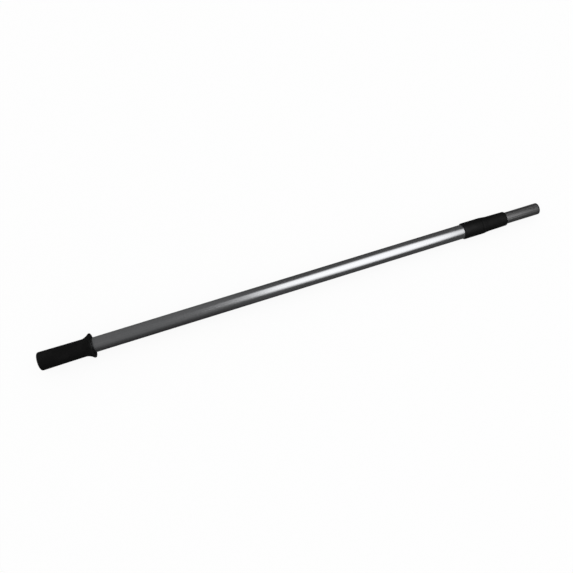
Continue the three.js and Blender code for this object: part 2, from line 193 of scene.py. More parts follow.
class StageSettings(bpy.types.PropertyGroup):
    """The camera, the floor and the light."""

    turn: bpy.props.FloatProperty(
        name="Turn",
        description="How far the camera is turned from square to the pole",
        default=math.radians(18.51),
        subtype="ANGLE",
    )
    elevation: bpy.props.FloatProperty(
        name="Elevation",
        description="How far above the horizon the camera stands",
        default=math.radians(67.01),
        subtype="ANGLE",
    )
    distance: length_setting("Distance", "From the camera to the point it looks at", 1.2516)
    lens: bpy.props.FloatProperty(
        name="Lens",
        description="Focal length of the camera",
        default=40.2,
        unit="CAMERA",
    )
    floor_colour: colour_setting("Floor", "Colour of the floor", (0.08, 0.08, 0.08))
    floor_glow: bpy.props.FloatProperty(
        name="Floor glow", description="How far the white floor lights itself", default=0.911, min=0
    )
    dome: bpy.props.FloatProperty(
        name="Dome", description="Brightness of the white dome round the set", default=1.0, min=0
    )
    softbox: bpy.props.FloatProperty(
        name="Softbox", description="Brightness of the softbox over the pole", default=1.25, min=0
    )


# ---- Mesh tools ----


def turned(outline, steps=ROUND_STEPS):
    """A bmesh made by turning an outline about the pole's axis, with its corners rounded."""
    bm = bmesh.new()
    corners = [bm.verts.new((GRIP_END + c[0], 0, AXIS_HEIGHT + c[1])) for c in outline]
    for here, there in zip(corners, corners[1:]):
        bm.edges.new((here, there))
    if min(c[1] for c in outline) > 0:
        bm.edges.new((corners[-1], corners[0]))
    for vert, corner in zip(corners, outline):
        if len(corner) == 3:
            bmesh.ops.bevel(
                bm,
                geom=[vert],
                offset=corner[2],
                offset_type="OFFSET",
                segments=max(ROUNDING_STEPS, round(corner[2] / ROUNDING_PITCH)),
                profile=0.5,
                affect="VERTICES",
                material=-1,
            )
    bmesh.ops.spin(
        bm,
        geom=bm.verts[:] + bm.edges[:],
        cent=ON_AXIS,
        axis=AXIS,
        angle=2 * math.pi,
        steps=steps,
        use_merge=True,
    )
    bmesh.ops.remove_doubles(bm, verts=bm.verts[:], dist=MERGE_DISTANCE)
    bmesh.ops.recalc_face_normals(bm, faces=bm.faces[:])
    return bm


def rectangle(start, end, inner, outer, rounding):
    """The outline of a plain ring or tube with rounded edges."""
    return [
        (start, inner, rounding),
        (start, outer, rounding),
        (end, outer, rounding),
        (end, inner, rounding),
    ]


def groove(start, end, outer, floor):
    """The corners of a square groove in a turned surface."""
    return [(start, outer), (start, floor), (end, floor), (end, outer)]


def lead_in(start, radius, length=0.0015, drop=0.0008):
    """The corners of a tapered start: thinner by drop there, and full after a length."""
    return [(start, radius - drop, EDGE), (start + length, radius, SOFT_EDGE)]


def spigot_end(end, radius, length=0.002, drop=0.001, rounding=0.0008):
    """The corners of a spigot's tapered end: full up to a length before it, and thinner by drop."""
    return [(end - length, radius, rounding), (end, radius - drop, EDGE)]


def mesh_object(name, bm):
    """A new object that takes over a bmesh."""
    mesh = bpy.data.meshes.new(name)
    bm.to_mesh(mesh)
    bm.free()
    piece = bpy.data.objects.new(name, mesh)
    bpy.context.scene.collection.objects.link(piece)
    return piece


def combined(piece, bm, operation="DIFFERENCE"):
    """Cuts a bmesh out of a piece, or joins it on, and keeps the result as the piece's mesh."""
    tool = mesh_object(piece.name + "_tool", bm)
    modifier = piece.modifiers.new(operation.title(), "BOOLEAN")
    modifier.operation = operation
    modifier.solver = "EXACT"
    modifier.object = tool
    depsgraph = bpy.context.evaluated_depsgraph_get()
    result = bpy.data.meshes.new_from_object(piece.evaluated_get(depsgraph))
    piece.modifiers.clear()
    spare = piece.data
    piece.data = result
    result.name = piece.name
    bpy.data.meshes.remove(spare)
    bpy.data.meshes.remove(tool.data)
    return piece


def cross_rod(along, radius, length=CUT_LENGTH, offset=0.0):
    """A rod across the pole, along Y, through or beside its axis."""
    bm = bmesh.new()
    bmesh.ops.create_cone(
        bm,
        cap_ends=True,
        segments=SMALL_ROUND_STEPS,
        radius1=radius,
        radius2=radius,
        depth=length,
    )
    bmesh.ops.rotate(bm, verts=bm.verts[:], matrix=Matrix.Rotation(math.pi / 2, 3, "X"))
    place = Vector((GRIP_END + along, offset, AXIS_HEIGHT))
    bmesh.ops.translate(bm, verts=bm.verts[:], vec=place)
    return bm


def box_cutter(start, end, width, height, turn=0.0, lift=0.0):
    """A box on the pole's axis, turned about it, and lifted off it along its own height."""
    bm = bmesh.new()
    bmesh.ops.create_cube(bm, size=1)
    bmesh.ops.scale(bm, verts=bm.verts[:], vec=(end - start, width, height))
    bmesh.ops.translate(bm, verts=bm.verts[:], vec=(0, 0, lift))
    bmesh.ops.rotate(bm, verts=bm.verts[:], matrix=Matrix.Rotation(turn, 3, "X"))
    place = ON_AXIS + AXIS * (GRIP_END + (start + end) / 2)
    bmesh.ops.translate(bm, verts=bm.verts[:], vec=place)
    return bm


def split(piece, start, end):
    """Cuts a ring through at its top, so that it can spring open."""
    reach = CUT_LENGTH / 2
    gap = box_cutter(start - CUT_MARGIN, end + CUT_MARGIN, SPLIT_WIDTH, reach, lift=reach / 2)
    combined(piece, gap)


def thread_ridge(gap=0.0, extra_turns=0.0):
    """The thread's helical ridge, sunk into the neck. A gap widens it to the groove it runs in."""
    sunk = 0.0004
    base = NECK_RADIUS - sunk
    crest = NECK_RADIUS + THREAD_DEPTH + gap
    root_half = THREAD_ROOT_WIDTH / 2 + gap
    crest_half = THREAD_CREST_WIDTH / 2 + gap
    start = GRIP_END + THREAD_START - THREAD_PITCH * extra_turns
    section = [(-root_half, base), (root_half, base), (crest_half, crest), (-crest_half, crest)]
    turns = THREAD_TURNS + 2 * extra_turns
    steps = round(turns * ROUND_STEPS)
    bm = bmesh.new()
    corners = [bm.verts.new((start + a, r, AXIS_HEIGHT)) for a, r in section]
    face = bm.faces.new(corners)
    bmesh.ops.rotate(
        bm,
        verts=corners,
        cent=ON_AXIS,
        matrix=Matrix.Rotation(-2 * math.pi * extra_turns, 3, "X"),
    )
    bmesh.ops.spin(
        bm,
        geom=[face, *face.edges, *face.verts],
        cent=ON_AXIS,
        axis=AXIS,
        dvec=AXIS * THREAD_PITCH / ROUND_STEPS,
        angle=2 * math.pi * turns,
        steps=steps,
    )
    bmesh.ops.recalc_face_normals(bm, faces=bm.faces[:])
    return bm


def finished(piece, body, node, material):
    """Shades a piece, gives it its finish, and puts it in the place of its plain solid."""
    piece.data.shade_smooth()
    piece.data.set_sharp_from_angle(angle=SHARP_ANGLE)
    piece.data.materials.clear()
    piece.data.materials.append(material)
    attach(piece, body)
    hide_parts(node)
    return piece


# ---- Material tools ----

KEPT_NODES = ("ShaderNodeBsdfPrincipled", "ShaderNodeOutputMaterial")


def plain_material(name, colour, roughness, metallic=0.0, specular=0.5):
    """A material with constant values on its shader, for the functions below to add detail to."""
    material = bpy.data.materials.get(name) or bpy.data.materials.new(name)
    material.use_nodes = True
    tree = material.node_tree
    for node in [n for n in tree.nodes if n.bl_idname not in KEPT_NODES]:
        tree.nodes.remove(node)
    shader = tree.nodes["Principled BSDF"]
    shader.inputs["Base Color"].default_value = (*colour, 1)
    shader.inputs["Roughness"].default_value = roughness
    shader.inputs["Metallic"].default_value = metallic
    shader.inputs["Specular IOR Level"].default_value = specular
    return material, tree, shader


def noise(tree, stretch, detail=4.0, roughness=0.55):
    """Noise on the piece's own coordinates, with so many features a metre along X, Y and Z."""
    place = tree.nodes.new("ShaderNodeTexCoord")
    mapping = tree.nodes.new("ShaderNodeMapping")
    mapping.inputs["Scale"].default_value = stretch
    texture = tree.nodes.new("ShaderNodeTexNoise")
    texture.inputs["Scale"].default_value = 1
    texture.inputs["Detail"].default_value = detail
    texture.inputs["Roughness"].default_value = roughness
    tree.links.new(place.outputs["Object"], mapping.inputs["Vector"])
    tree.links.new(mapping.outputs["Vector"], texture.inputs["Vector"])
    return texture.outputs["Fac"]


def ranged(tree, value, low, high, to_low, to_high, easing="SMOOTHSTEP"):
    """A value's range low to high, mapped to another range."""
    node = tree.nodes.new("ShaderNodeMapRange")
    node.interpolation_type = easing
    node.inputs["From Min"].default_value = low
    node.inputs["From Max"].default_value = high
    node.inputs["To Min"].default_value = to_low
    node.inputs["To Max"].default_value = to_high
    tree.links.new(value, node.inputs["Value"])
    return node.outputs["Result"]


def calculated(tree, operation, *values):
    """The result of a sum on values, each of which is a node's output or a plain number."""
    node = tree.nodes.new("ShaderNodeMath")
    node.operation = operation
    for value, socket in zip(values, node.inputs):
        if isinstance(value, bpy.types.NodeSocket):
            tree.links.new(value, socket)
        else:
            socket.default_value = value
    return node.outputs["Value"]


def blended(tree, amount, first, second):
    """A colour between two, by amount."""
    node = tree.nodes.new("ShaderNodeMix")
    node.data_type = "RGBA"
    node.inputs["A"].default_value = (*first, 1)
    node.inputs["B"].default_value = (*second, 1)
    tree.links.new(amount, node.inputs["Factor"])
    return node.outputs["Result"]


def bumped(tree, height, distance, strength=1.0, under=None):
    """A normal from a height map of so many metres, on top of another if one is given."""
    node = tree.nodes.new("ShaderNodeBump")
    node.inputs["Strength"].default_value = strength
    node.inputs["Distance"].default_value = distance
    tree.links.new(height, node.inputs["Height"])
    if under is not None:
        tree.links.new(under, node.inputs["Normal"])
    return node.outputs["Normal"]


def scaled(colour, factor):
    """A colour made lighter or darker by a factor."""
    return tuple(min(1, c * factor) for c in colour)


def worn(tree, shader, amount, colours, roughness, normal):
    """Gives a shader its relief, and a colour and roughness between two pairs, by amount."""
    tree.links.new(blended(tree, amount, *colours), shader.inputs["Base Color"])
    tree.links.new(ranged(tree, amount, 0, 1, *roughness), shader.inputs["Roughness"])
    tree.links.new(normal, shader.inputs["Normal"])


# ---- Finishes ----


def grip_rubber(colour):
    """Moulded black rubber: a fine pebble grain, duller and a little greyer where it is handled."""
    material, tree, shader = plain_material("grip_rubber", colour, 0.7, specular=0.3)
    handled = ranged(tree, noise(tree, (28,) * 3, detail=3), 0.42, 0.66, 0, 1)
    pits = bumped(tree, noise(tree, (380,) * 3, detail=3), 0.0003, 0.7)
    relief = bumped(tree, noise(tree, (1500,) * 3, detail=2), 0.0002, 0.9, under=pits)
    worn(tree, shader, handled, (colour, scaled(colour, 1.9)), (0.62, 0.8), relief)
    return material


def collar_plastic(colour):
    """Black moulded plastic with a spark-eroded texture, rubbed smoother in patches."""
    material, tree, shader = plain_material("collar_plastic", colour, 0.5, specular=0.2)
    rubbed = ranged(tree, noise(tree, (60,) * 3), 0.45, 0.7, 0, 1)
    relief = bumped(tree, noise(tree, (2600,) * 3, detail=2), 0.00006, 0.6)
    worn(tree, shader, rubbed, (colour, scaled(colour, 1.5)), (0.52, 0.4), relief)
    return material


def drawn_aluminium(name, colour, roughness, line_depth, tone):
    """Drawn tube: fine lines along it, with broader streaks that change its tone and gloss."""
    material, tree, shader = plain_material(name, colour, roughness, metallic=1.0)
    streaks = noise(tree, (2.5, 420, 420), detail=5, roughness=0.6)
    lines = noise(tree, (12, 3200, 3200), detail=2)
    smudges = noise(tree, (22, 60, 60), detail=3)
    toned = ranged(tree, streaks, 0.3, 0.7, 0, 1)
    tree.links.new(
        blended(tree, toned, scaled(colour, 1 - tone), scaled(colour, 1 + tone)),
        shader.inputs["Base Color"],
    )
    gloss = calculated(
        tree,
        "MULTIPLY",
        ranged(tree, streaks, 0.3, 0.7, roughness * 0.88, roughness * 1.12),
        ranged(tree, smudges, 0.4, 0.7, 1.0, 1.12),
    )
    tree.links.new(gloss, shader.inputs["Roughness"])
    tree.links.new(bumped(tree, lines, line_depth, 0.7), shader.inputs["Normal"])
    return material


def bright_aluminium(colour):
    """Brightened tube, smooth and even."""
    return drawn_aluminium("bright_tube", colour, roughness=0.2, line_depth=0.000006, tone=0.03)


def dull_aluminium(colour):
    """Mill-finish tube, greyer, rougher and streakier."""
    return drawn_aluminium("dull_tube", colour, roughness=0.33, line_depth=0.00002, tone=0.13)


def tip_plastic():
    """Dark grey moulded plastic, scuffed on its face by what has been pushed over it."""
    colour = (0.035, 0.035, 0.037)
    material, tree, shader = plain_material("tip_plastic", colour, 0.55, specular=0.4)
    scuffs = ranged(tree, noise(tree, (90, 260, 260), detail=5), 0.5, 0.72, 0, 1)
    relief = bumped(tree, noise(tree, (1800,) * 3), 0.00005, 0.6)
    worn(tree, shader, scuffs, (colour, scaled(colour, 1.8)), (0.5, 0.68), relief)
    return material


def sliding_plastic():
    """Natural acetal, off-white, polished a little where it rubs."""
    colour, rubbed_colour = (0.66, 0.63, 0.54), (0.58, 0.55, 0.47)
    material, tree, shader = plain_material("sliding_plastic", colour, 0.42)
    rubbed = ranged(tree, noise(tree, (40, 220, 220)), 0.4, 0.65, 0, 1)
    relief = bumped(tree, noise(tree, (900,) * 3), 0.00003, 0.5)
    worn(tree, shader, rubbed, (colour, rubbed_colour), (0.46, 0.3), relief)
    return material


def buffer_rubber():
    """Soft dark grey rubber with a dusty surface."""
    colour = (0.022, 0.022, 0.023)
    material, tree, shader = plain_material("buffer_rubber", colour, 0.8, specular=0.25)
    dust = ranged(tree, noise(tree, (300,) * 3), 0.45, 0.7, 0, 1)
    relief = bumped(tree, noise(tree, (1400,) * 3), 0.00008, 0.7)
    worn(tree, shader, dust, (colour, scaled(colour, 2.2)), (0.75, 0.92), relief)
    return material


def pin_steel():
    """Plain steel wire and rivets, with fine scratches."""
    colour = (0.42, 0.43, 0.44)
    material, tree, shader = plain_material("pin_steel", colour, 0.34, metallic=1.0)
    tarnish = ranged(tree, noise(tree, (260,) * 3), 0.42, 0.68, 0, 1)
    scratches = bumped(tree, noise(tree, (2400, 500, 2400), detail=3), 0.00002, 0.6)
    worn(tree, shader, tarnish, (colour, scaled(colour, 0.72)), (0.3, 0.46), scratches)
    return material


# ---- Operators: the outer section ----


class POLE_OT_hand_grip(bpy.types.Operator):
    """Build the hand grip, with its flared guard and vented end"""

    bl_idname = "pole.hand_grip"
    bl_label = "Hand Grip"

    def execute(self, context):
        grip = context.scene.pole_grip
        start, end, guard = span("hand_grip")
        wall = span("end_plug")[0] - FIXED_GAP
        bore = OUTER_RADIUS + FIXED_GAP
        rim_start = end - grip.rim_width
        flare_corner = rim_start - (guard - grip.waist_radius) / math.tan(FLARE_ANGLE)
        flare_tangent = grip.flare_radius * math.tan(FLARE_ANGLE / 2)
        rim_back_round = 0.0012
        rim_inner = guard - grip.rim_round * 1.3
        mouth_floor = end - grip.mouth_depth
        mouth_lip = bore + 0.0006
        lip_round = 0.0004
        outline = [
            (wall, grip.vent_radius),
            (start, grip.vent_radius, lip_round),
            (start, grip.end_radius, grip.end_round),
            (flare_corner, grip.waist_radius, flare_tangent),
            (rim_start, guard, rim_back_round),
            (end, guard, grip.rim_round),
            (end, rim_inner, lip_round),
            (mouth_floor, mouth_lip, lip_round),
            (mouth_floor, bore),
            (wall, bore),
        ]
        piece = mesh_object("hand_grip_rubber", turned(outline))
        finished(piece, "outer_section", "hand_grip", grip_rubber(grip.colour))
        return {"FINISHED"}


class POLE_OT_outer_tube(bpy.types.Operator):
    """Build the outer tube, drilled for the rivets of the lock sleeve"""

    bl_idname = "pole.outer_tube"
    bl_label = "Outer Tube"

    def execute(self, context):
        tube = context.scene.pole_tubes
        start, end, radius = span("outer_tube")
        outline = rectangle(start, end, OUTER_BORE, radius, tube.end_round)
        piece = mesh_object("outer_tube_drawn", turned(outline))
        combined(piece, cross_rod(RIVET_ALONG, CROSS_HOLE_RADIUS))
        material = bright_aluminium(tube.outer_colour)
        finished(piece, "outer_section", "outer_tube", material)
        return {"FINISHED"}


class POLE_OT_tube_end(bpy.types.Operator):
    """Build the plug that closes the outer tube and the rubber bumper in it"""

    bl_idname = "pole.tube_end"
    bl_label = "Tube End Plug and Bumper"

    def execute(self, context):
        self.build_plug()
        self.build_bumper()
        return {"FINISHED"}

    def build_plug(self):
        start, end, radius = span("end_plug")
        spigot = OUTER_BORE - FIXED_GAP
        shoulder = span("outer_tube")[0] - FIXED_GAP
        hole = 0.004
        outline = [
            (start, hole, EDGE),
            (start, radius, 0.0004),
            (shoulder, radius, EDGE),
            (shoulder, spigot),
            *spigot_end(end, spigot),
            (end, hole, EDGE),
        ]
        piece = mesh_object("end_plug_moulded", turned(outline))
        finished(piece, "outer_section", "end_plug", sliding_plastic())

    def build_bumper(self):
        start, top, radius = span("stop_bumper")
        seat = span("end_plug")[1] + FIXED_GAP
        stem, stem_round = 0.0038, 0.0006
        top_round = 0.0015
        outline = [
            (start, 0),
            (start, stem, stem_round),
            (seat, stem),
            (seat, radius, SOFT_EDGE),
            (top, radius, top_round),
            (top, 0),
        ]
        piece = mesh_object("stop_bumper_rubber", turned(outline))
        finished(piece, "outer_section", "stop_bumper", buffer_rubber())


class POLE_OT_mouth_bush(bpy.types.Operator):
    """Build the flanged guide bush in the outer tube's mouth"""

    bl_idname = "pole.mouth_bush"
    bl_label = "Mouth Bush"

    def execute(self, context):
        start, end, radius = span("mouth_bush")
        bore = INNER_RADIUS + GUIDE_GAP
        body = OUTER_BORE - FIXED_GAP
        flange = span("outer_tube")[1] + FIXED_GAP
        outline = [
            (start, bore, EDGE),
            *lead_in(start, body),
            (flange, body),
            (flange, radius, FINE_EDGE),
            (end, radius, FINE_EDGE),
            (end, bore, EDGE),
        ]
        piece = mesh_object("mouth_bush_moulded", turned(outline))
        combined(piece, cross_rod(RIVET_ALONG, CROSS_HOLE_RADIUS))
        finished(piece, "outer_section", "mouth_bush", sliding_plastic())
        return {"FINISHED"}


# ---- Operators: the lock ----


class POLE_OT_lock_sleeve(bpy.types.Operator):
    """Build the fixed half of the collar, with its threaded neck and sunk rivet holes"""

    bl_idname = "pole.lock_sleeve"
    bl_label = "Lock Sleeve"

    def execute(self, context):
        start, neck_end, radius = span("lock_sleeve")
        face = span("lock_nut")[0] - RUNNING_GAP
        socket = OUTER_RADIUS + FIXED_GAP
        socket_end = span("mouth_bush")[1] + FIXED_GAP
        bore = INNER_RADIUS + RUNNING_GAP
        ring_start, ring_end, _ = span("nut_retainer")
        ring_floor = NECK_RADIUS - RETAINER_GROOVE_DEPTH
        back_round, face_round, root_round = 0.0015, 0.0006, 0.0004
        outline = [
            (start, socket, EDGE),
            (start, radius, back_round),
            (face, radius, face_round),
            (face, NECK_RADIUS, root_round),
            *groove(ring_start - FIXED_GAP, ring_end + FIXED_GAP, NECK_RADIUS, ring_floor),
            (neck_end, NECK_RADIUS, EDGE),
            (neck_end, bore, EDGE),
            (socket_end, bore),
            (socket_end, socket),
        ]
        piece = mesh_object("lock_sleeve_moulded", turned(outline))
        combined(piece, thread_ridge(), "UNION")
        combined(piece, cross_rod(RIVET_ALONG, CROSS_HOLE_RADIUS))
        for surface in (radius, -radius):
            length = 2 * RIVET_RECESS_DEPTH
            combined(piece, cross_rod(RIVET_ALONG, RIVET_RECESS_RADIUS, length, offset=surface))
        material = collar_plastic(context.scene.pole_collar.colour)
        finished(piece, "outer_section", "lock_sleeve", material)
        return {"FINISHED"}


class POLE_OT_sleeve_rivets(bpy.types.Operator):
    """Build the two rivets that hold the sleeve and the bush to the tube"""

    bl_idname = "pole.sleeve_rivets"
    bl_label = "Sleeve Rivets"

    def execute(self, context):
        sleeve_radius = span("lock_sleeve")[2]
        shank = 0.0015
        tail = INNER_RADIUS + 0.0007
        under_head = sleeve_radius - RIVET_RECESS_DEPTH + 0.0001
        top = sleeve_radius - RUNNING_GAP
        crown_radius, crown_round = RIVET_HEAD_RADIUS - 0.0003, 0.0006
        outline = [
            (tail, 0),
            (tail, shank, EDGE),
            (under_head, shank),
            (under_head, RIVET_HEAD_RADIUS, FINE_EDGE),
            (top, crown_radius, crown_round),
            (top, 0),
        ]
        quarter = math.pi / 2
        for node, turn in (("sleeve_rivet_left", quarter), ("sleeve_rivet_right", -quarter)):
            bm = turned(outline, SMALL_ROUND_STEPS)
            bmesh.ops.translate(bm, verts=bm.verts[:], vec=-AXIS * GRIP_END - ON_AXIS)
            bmesh.ops.rotate(bm, verts=bm.verts[:], matrix=Matrix.Rotation(turn, 3, "Z"))
            place = ON_AXIS + AXIS * (GRIP_END + RIVET_ALONG)
            bmesh.ops.translate(bm, verts=bm.verts[:], vec=place)
            piece = mesh_object(node + "_steel", bm)
            finished(piece, "outer_section", node, pin_steel())
        return {"FINISHED"}


class POLE_OT_nut_retainer(bpy.types.Operator):
    """Build the split wire ring that keeps the nut on the neck"""

    bl_idname = "pole.nut_retainer"
    bl_label = "Nut Retainer"

    def execute(self, context):
        start, end, radius = span("nut_retainer")
        inner = NECK_RADIUS - RETAINER_GROOVE_DEPTH + FIXED_GAP
        outline = rectangle(start, end, inner, radius, FINE_EDGE)
        piece = mesh_object("nut_retainer_wire", turned(outline))
        split(piece, start, end)
        finished(piece, "outer_section", "nut_retainer", pin_steel())
        return {"FINISHED"}


class POLE_OT_collet(bpy.types.Operator):
    """Build the slotted collet that clamps the inner tube"""

    bl_idname = "pole.collet"
    bl_label = "Collet"

    def execute(self, context):
        start, end, radius = span("collet")
        base_end = start + COLLET_BASE
        bore = INNER_RADIUS + FIXED_GAP
        base_round, tip_round = 0.0006, 0.0001
        tip_wall = 0.00055
        outline = [
            (start, bore, FINE_EDGE),
            (start, radius, EDGE),
            (base_end, radius, base_round),
            (end, bore + tip_wall, FINE_EDGE),
            (end, bore, tip_round),
        ]
        piece = mesh_object("collet_moulded", turned(outline))
        # A cut goes right across the collet, so that each makes two slots.
        cuts, slot_width = 3, 0.0016
        for cut in range(cuts):
            turn = cut * math.pi / cuts
            slots = box_cutter(base_end, end + CUT_MARGIN, slot_width, CUT_LENGTH, turn=turn)
            combined(piece, slots)
        finished(piece, "outer_section", "collet", sliding_plastic())
        return {"FINISHED"}


class POLE_OT_lock_nut(bpy.types.Operator):
    """Build the turning half of the collar, with its flutes, thread, cone and wiper groove"""

    bl_idname = "pole.lock_nut"
    bl_label = "Lock Nut"

    def execute(self, context):
        collar = context.scene.pole_collar
        start, end, radius = span("lock_nut")
        bore = INNER_RADIUS + 0.0005
        minor = NECK_RADIUS + FIXED_GAP
        clear = NECK_RADIUS + THREAD_DEPTH + RUNNING_GAP
        cone_start = span("collet")[0] + COLLET_BASE
        cone_end = span("collet")[1] + 0.0005
        cone_end_radius = INNER_RADIUS + 0.001
        wiper_start, wiper_end, wiper_radius = span("wiper_ring")
        groove_start, groove_end = wiper_start - FIXED_GAP, wiper_end + FIXED_GAP
        groove_radius = wiper_radius + GUIDE_GAP
        rim_end = start + 0.0022
        nose_start = rim_end + 0.012
        thread_start = start + 0.0012
        skirt_round, rim_round, hollow_round, mouth_round = 0.0006, 0.0014, 0.0035, 0.0004
        outline = [
            (start, clear, EDGE),
            (start, radius, skirt_round),
            (rim_end, radius, rim_round),
            (nose_start, collar.nose_radius, hollow_round),
            (end, collar.nose_end_radius, collar.nose_round),
            (end, bore, mouth_round),
            (groove_end, bore),
            (groove_end, groove_radius),
            (groove_start, groove_radius),
            (groove_start, cone_end_radius),
            (cone_end, cone_end_radius),
            (cone_start, clear),
            (THREAD_END, clear),
            (THREAD_END, minor),
            (thread_start, minor),
        ]
        piece = mesh_object("lock_nut_moulded", turned(outline))
        combined(piece, thread_ridge(gap=GUIDE_GAP, extra_turns=1))
        if collar.flutes:
            combined(piece, self.flute_cutters(collar, nose_start, end))
        finished(piece, "lock_nut", "lock_nut", collar_plastic(collar.colour))
        return {"FINISHED"}

    def flute_cutters(self, collar, nose_start, nose_end):
        """Slim ellipsoids round the nose, each of which leaves one shallow flute."""
        half_width = 0.0013
        half_length = (nose_end - nose_start) * 0.40
        along = (nose_start + nose_end - collar.nose_round) / 2
        surface = (collar.nose_radius + collar.nose_end_radius) / 2
        slope = math.atan2(collar.nose_radius - collar.nose_end_radius, nose_end - nose_start)
        bm = bmesh.new()
        bmesh.ops.create_uvsphere(bm, u_segments=20, v_segments=24, radius=1)
        bmesh.ops.rotate(bm, verts=bm.verts[:], matrix=Matrix.Rotation(math.pi / 2, 3, "Y"))
        bmesh.ops.scale(bm, verts=bm.verts[:], vec=(half_length, half_width, half_width))
        bmesh.ops.rotate(bm, verts=bm.verts[:], matrix=Matrix.Rotation(slope, 3, "Y"))
        lift = surface + half_width - collar.flute_depth
        place = ON_AXIS + Vector((GRIP_END + along, 0, lift))
        bmesh.ops.translate(bm, verts=bm.verts[:], vec=place)
        step = 2 * math.pi / collar.flutes
        bmesh.ops.spin(
            bm,
            geom=bm.verts[:] + bm.edges[:] + bm.faces[:],
            cent=ON_AXIS,
            axis=AXIS,
            angle=step * (collar.flutes - 1),
            steps=collar.flutes - 1,
            use_duplicate=True,
        )
        bmesh.ops.recalc_face_normals(bm, faces=bm.faces[:])
        return bm


class POLE_OT_wiper_ring(bpy.types.Operator):
    """Build the wiper in the nut's nose"""

    bl_idname = "pole.wiper_ring"
    bl_label = "Wiper Ring"

    def execute(self, context):
        start, end, radius = span("wiper_ring")
        lip = INNER_RADIUS + FIXED_GAP
        side = lip + 0.0004
        outline = [
            (start, side, FINE_EDGE),
            (start, radius, EDGE),
            (end, radius, EDGE),
            (end, side, FINE_EDGE),
            ((start + end) / 2, lip, EDGE),
        ]
        piece = mesh_object("wiper_ring_rubber", turned(outline))
        finished(piece, "nut_wiper", "wiper_ring", buffer_rubber())
        return {"FINISHED"}


# ---- Operators: the inner section ----


class POLE_OT_inner_tube(bpy.types.Operator):
    """Build the inner tube, drilled for the stop pin"""

    bl_idname = "pole.inner_tube"
    bl_label = "Inner Tube"

    def execute(self, context):
        tube = context.scene.pole_tubes
        start, end, radius = span("inner_tube")
        outline = rectangle(start, end, INNER_BORE, radius, tube.end_round)
        piece = mesh_object("inner_tube_drawn", turned(outline))
        combined(piece, cross_rod(PIN_ALONG, CROSS_HOLE_RADIUS))
        material = dull_aluminium(tube.inner_colour)
        finished(piece, "inner_section", "inner_tube", material)
        return {"FINISHED"}


class POLE_OT_glide_plug(bpy.types.Operator):
    """Build the hollow plug at the inner tube's lower end, grooved for its rings"""

    bl_idname = "pole.glide_plug"
    bl_label = "Glide Plug"

    def execute(self, context):
        start, end, radius = span("glide_plug")
        spigot = INNER_BORE - FIXED_GAP
        hollow = 0.007
        head_end = span("inner_tube")[0] - RUNNING_GAP
        hollow_end = start + 0.045
        large_round = 0.001
        outline = [
            (hollow_end, 0),
            (hollow_end, hollow, large_round),
            (start, hollow, SOFT_EDGE),
            (start, radius, large_round),
        ]
        for node, depth in (
            ("glide_ring_lower", 0.001),
            ("drag_ring", 0.0015),
            ("glide_ring_upper", 0.001),
        ):
            ring_start, ring_end, _ = span(node)
            room = RUNNING_GAP if node == "drag_ring" else FIXED_GAP
            outline += groove(ring_start - room, ring_end + room, radius, radius - depth)
        outline += [
            (head_end, radius, EDGE),
            (head_end, spigot),
            *spigot_end(end, spigot),
            (end, 0),
        ]
        piece = mesh_object("glide_plug_moulded", turned(outline))
        finished(piece, "inner_section", "glide_plug", sliding_plastic())
        return {"FINISHED"}


class POLE_OT_glide_rings(bpy.types.Operator):
    """Build the two split glide rings and the O-ring between them"""

    bl_idname = "pole.glide_rings"
    bl_label = "Glide Rings and Drag Ring"

    def execute(self, context):
        for node in ("glide_ring_lower", "glide_ring_upper"):
            start, end, radius = span(node)
            inner = OUTER_BORE - 0.0015
            outline = rectangle(start, end, inner, radius, EDGE)
            piece = mesh_object(node + "_nylon", turned(outline))
            split(piece, start, end)
            finished(piece, "glides", node, sliding_plastic())
        self.build_drag_ring()
        return {"FINISHED"}

    def build_drag_ring(self):
        start, end, radius = span("drag_ring")
        section = (end - start) / 2
        bm = bmesh.new()
        bmesh.ops.create_circle(bm, cap_ends=False, segments=24, radius=section)
        bmesh.ops.rotate(bm, verts=bm.verts[:], matrix=Matrix.Rotation(math.pi / 2, 3, "X"))
        place = middle("drag_ring") + Vector((0, 0, radius - section))
        bmesh.ops.translate(bm, verts=bm.verts[:], vec=place)
        bmesh.ops.spin(
            bm,
            geom=bm.verts[:] + bm.edges[:],
            cent=ON_AXIS,
            axis=AXIS,
            angle=2 * math.pi,
            steps=ROUND_STEPS,
            use_merge=True,
        )
        bmesh.ops.recalc_face_normals(bm, faces=bm.faces[:])
        piece = mesh_object("drag_ring_rubber", bm)
        finished(piece, "glides", "drag_ring", buffer_rubber())


class POLE_OT_stop_collar(bpy.types.Operator):
    """Build the collar that stops the inner section, and the pin through it"""

    bl_idname = "pole.stop_collar"
    bl_label = "Stop Collar and Pin"

    def execute(self, context):
        start, end, radius = span("stop_collar")
        bore = INNER_RADIUS + FIXED_GAP
        taper, drop = 0.001, 0.0007
        outline = [
            (start, bore, EDGE),
            *lead_in(start, radius, taper, drop),
            *reversed(lead_in(end, radius, -taper, drop)),
            (end, bore, EDGE),
        ]
        collar = mesh_object("stop_collar_moulded", turned(outline))
        combined(collar, cross_rod(PIN_ALONG, CROSS_HOLE_RADIUS))
        finished(collar, "inner_section", "stop_collar", sliding_plastic())
        low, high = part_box("stop_pin")
        pin = cross_rod(PIN_ALONG, (high.z - low.z) / 2, length=high.y - low.y)
        ends = [e for e in pin.edges if abs(e.verts[0].co.y - e.verts[1].co.y) < MERGE_DISTANCE]
        bmesh.ops.bevel(
            pin, geom=ends, offset=EDGE, segments=3, profile=0.5, affect="EDGES", material=-1
        )
        piece = mesh_object("stop_pin_steel", pin)
        finished(piece, "inner_section", "stop_pin", pin_steel())
        return {"FINISHED"}


